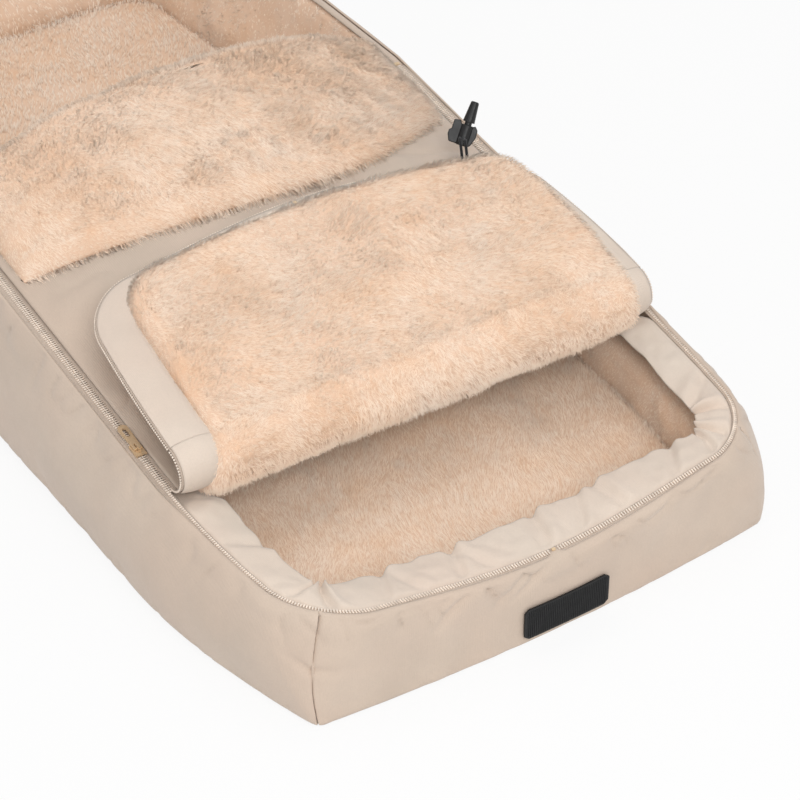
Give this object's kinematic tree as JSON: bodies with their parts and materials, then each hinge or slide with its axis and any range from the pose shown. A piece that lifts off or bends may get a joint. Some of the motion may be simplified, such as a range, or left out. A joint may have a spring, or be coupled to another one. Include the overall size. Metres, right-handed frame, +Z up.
{
  "type": "stroller footmuff",
  "caption": "Beige stroller footmuff lined with faux fur, lying on its back with the foot flap unzipped and folded back and the upper end of the cover turned down",
  "frame": {"origin": "middle of the underside of the back panel, on the surface that the footmuff lies on", "axes": "X across the footmuff, to the right as seen from the foot end; Y along it from the foot wall to the head end; Z up, out of the back panel"},
  "size_m": [0.4768, 0.9856, 0.2068],
  "materials": {
    "shell_fabric": "woven polyester, matt beige",
    "facing_fabric": "thin woven polyester, light beige, lightly gathered",
    "fur": "long pile faux fur, peach cream",
    "wadding": "polyester wadding, white, not seen",
    "zip_tape": "woven zip tape, taupe",
    "zip_coil": "nylon zip coil, taupe",
    "zip_metal": "rose gold plated zinc",
    "patch_rubber": "matt black soft rubber with fine ribs",
    "lock_plastic": "black moulded plastic, satin",
    "cord": "black elastic cord",
    "spring_steel": "small compression spring, not seen"
  },
  "bodies": {
    "footmuff_body": {"back_panel": "shell_fabric", "foot_wall": "shell_fabric", "head_wall": "shell_fabric", "left_wall": "shell_fabric", "right_wall": "shell_fabric", "cover_shell": "shell_fabric", "fold_shell": "shell_fabric", "turn_roll_shell": "shell_fabric", "facing_foot": "facing_fabric", "facing_left": "facing_fabric", "facing_right": "facing_fabric", "fur_floor_mat": "fur", "foot_fur_bolster": "fur", "head_fur_bolster": "fur", "left_fur_bolster": "fur", "right_fur_bolster": "fur", "cover_fur_lining": "fur", "fold_fur": "fur", "turn_roll_fur": "fur", "back_foam": "wadding", "foot_wall_wadding": "wadding", "head_wall_wadding": "wadding", "left_wall_wadding": "wadding", "right_wall_wadding": "wadding", "cover_wadding": "wadding", "fold_wadding": "wadding", "zip_tape_body_left": "zip_tape", "zip_tape_body_right": "zip_tape", "zip_tape_cover_left": "zip_tape", "zip_tape_cover_right": "zip_tape", "zip_coil_body_left": "zip_coil", "zip_coil_body_right": "zip_coil", "zip_coil_cover_left": "zip_coil", "zip_coil_cover_right": "zip_coil", "zip_top_stop_left": "zip_metal", "zip_top_stop_right": "zip_metal", "zip_foot_stop_body": "zip_metal", "ribbed_patch": "patch_rubber", "cord_lock_body": "lock_plastic", "drawcord_eyelet": "lock_plastic", "drawcord": "cord", "cord_lock_spring": "spring_steel"},
    "foot_flap": {"flap_shell": "shell_fabric", "flap_wadding": "wadding", "flap_fur_lining": "fur", "flap_facing_left": "facing_fabric", "flap_facing_right": "facing_fabric", "flap_zip_tape_left": "zip_tape", "flap_zip_tape_right": "zip_tape", "flap_zip_coil_left": "zip_coil", "flap_zip_coil_right": "zip_coil", "zip_foot_stop_flap": "zip_metal"},
    "turn_down": {"turn_down_shell": "shell_fabric", "turn_down_fur": "fur"},
    "slider_left": {"slider_left": "zip_metal"},
    "slider_right": {"slider_right": "zip_metal"},
    "pull_left": {"pull_left": "zip_metal"},
    "pull_right": {"pull_right": "zip_metal"},
    "cord_lock_plunger": {"cord_lock_plunger": "lock_plastic"}
  },
  "joints": [
    {"name": "foot_flap_fold", "type": "hinge", "parent": "footmuff_body", "child": "foot_flap", "pos_m": [0, -0.304, 0.112], "axis": [1, 0, 0], "range_deg": [0, 174], "deforming": ["fold_shell", "fold_wadding", "fold_fur"]},
    {"name": "turn_down_fold", "type": "hinge", "parent": "footmuff_body", "child": "turn_down", "pos_m": [0, 0.0403, 0.1846], "axis": [-1, 0, 0], "range_deg": [0, 150], "deforming": ["turn_roll_shell", "turn_roll_fur"]},
    {"name": "slider_left_run", "type": "slide", "parent": "footmuff_body", "child": "slider_left", "axis": [0, 0.9917, 0.1289], "range_m": [0, 0.28]},
    {"name": "slider_right_run", "type": "slide", "parent": "footmuff_body", "child": "slider_right", "axis": [0, 0.9917, 0.1289], "range_m": [0, 0.28]},
    {"name": "pull_left_swing", "type": "hinge", "parent": "slider_left", "child": "pull_left", "pos_m": [-0.20835, -0.25562, 0.10371], "axis": [1, 0, 0], "range_deg": [0, 150]},
    {"name": "pull_right_swing", "type": "hinge", "parent": "slider_right", "child": "pull_right", "pos_m": [0.20835, -0.25562, 0.10371], "axis": [1, 0, 0], "range_deg": [0, 150]},
    {"name": "cord_lock_press", "type": "slide", "parent": "footmuff_body", "child": "cord_lock_plunger", "axis": [-0.5599, -0.2799, -0.7798], "range_m": [0, 0.002], "stiffness_N_per_m": 600, "springref_m": -0.003, "deforming": ["cord_lock_spring"]}
  ]
}
